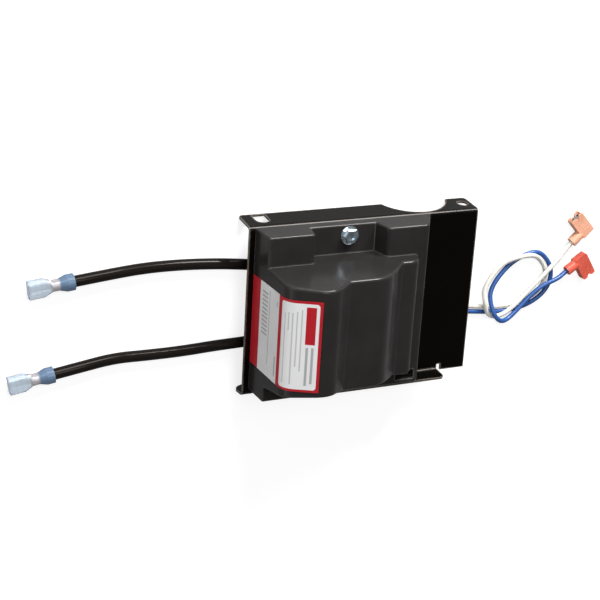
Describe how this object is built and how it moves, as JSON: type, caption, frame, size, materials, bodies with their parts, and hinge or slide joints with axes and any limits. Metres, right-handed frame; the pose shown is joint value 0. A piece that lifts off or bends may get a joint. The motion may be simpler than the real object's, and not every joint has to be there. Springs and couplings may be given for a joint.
{
  "type": "ignition transformer",
  "caption": "Solid-state ignition transformer in a moulded black housing on a folded steel plate, with high voltage leads in blue receptacles and thin primary wires in flag receptacles.",
  "frame": {"origin": "under the middle of the base plate, on the surface that its rear flanges stand on", "axes": "+X along the plate's long side, towards the primary leads; +Y up the plate, towards the notched flange; +Z out of the plate's front face"},
  "size_m": [0.3004, 0.083, 0.057],
  "materials": {
    "black_paint": "semi-gloss enamel",
    "black_plastic": "fine moulded texture",
    "potting_resin": "cast resin",
    "zinc_steel": "bright zinc plate",
    "label_film": "printed film",
    "ferrite": "sintered",
    "bobbin_nylon": "moulded",
    "enamelled_copper": "enamel",
    "board_laminate": "laminate",
    "capacitor_can": "shrink sleeve",
    "film_case": "moulded case",
    "heat_sink_aluminium": "mill finish",
    "component_epoxy": "moulded epoxy",
    "resistor_lacquer": "lacquer",
    "varistor_epoxy": "dipped",
    "black_silicone": "smooth jacket",
    "black_nylon": "moulded",
    "blue_vinyl": "translucent moulding",
    "tinned_brass": "tin plate",
    "white_vinyl": "smooth jacket",
    "dark_blue_vinyl": "smooth jacket",
    "orange_nylon": "translucent moulding",
    "red_nylon": "translucent moulding"
  },
  "bodies": {
    "root": {"base_plate": "black_paint", "housing": "black_plastic", "potting": "potting_resin", "housing_screw": "zinc_steel", "rating_label": "label_film", "front_label": "label_film", "core_lower": "ferrite", "core_upper": "ferrite", "secondary_bobbin": "bobbin_nylon", "primary_bobbin": "bobbin_nylon", "secondary_winding": "enamelled_copper", "primary_winding": "enamelled_copper", "circuit_board": "board_laminate", "bulk_capacitor": "capacitor_can", "resonant_capacitor": "film_case", "heat_sink": "heat_sink_aluminium", "power_transistor": "component_epoxy", "rectifier_diodes": "component_epoxy", "resistor": "resistor_lacquer", "varistor": "varistor_epoxy", "hv_lead_upper": "black_silicone", "hv_lead_lower": "black_silicone", "hv_bushing_upper": "black_nylon", "hv_bushing_lower": "black_nylon", "primary_bushing": "black_nylon", "hv_sleeve_upper": "blue_vinyl", "hv_sleeve_lower": "blue_vinyl", "hv_terminal_upper": "tinned_brass", "hv_terminal_lower": "tinned_brass", "primary_lead_white": "white_vinyl", "primary_lead_blue": "dark_blue_vinyl", "flag_sleeve_white": "orange_nylon", "flag_sleeve_blue": "red_nylon", "flag_terminal_white": "tinned_brass", "flag_terminal_blue": "tinned_brass"}
  },
  "joints": []
}
